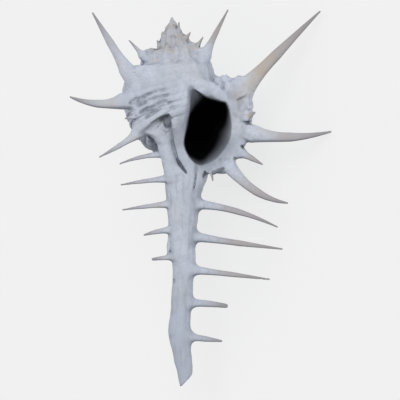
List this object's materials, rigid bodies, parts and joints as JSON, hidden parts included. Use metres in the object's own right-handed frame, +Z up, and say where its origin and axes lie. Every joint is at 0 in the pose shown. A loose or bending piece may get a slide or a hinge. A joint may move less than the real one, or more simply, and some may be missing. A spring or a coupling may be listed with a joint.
{
  "type": "murex shell",
  "caption": "Spiny sea snail shell with a short spire, an oval mouth and a long straight siphon canal, lying on the tips of its spines.",
  "frame": {"origin": "centre of the bottom of the shell's box, on the surface that it rests on", "axes": "+Z up from the surface, +Y along the shell's axis towards its apex, +X to the side that the mouth faces"},
  "size_m": [0.0616, 0.1126, 0.052],
  "materials": {
    "shell": "matt, chalky blue-grey"
  },
  "bodies": {
    "root": {"shell": "shell"}
  },
  "joints": []
}
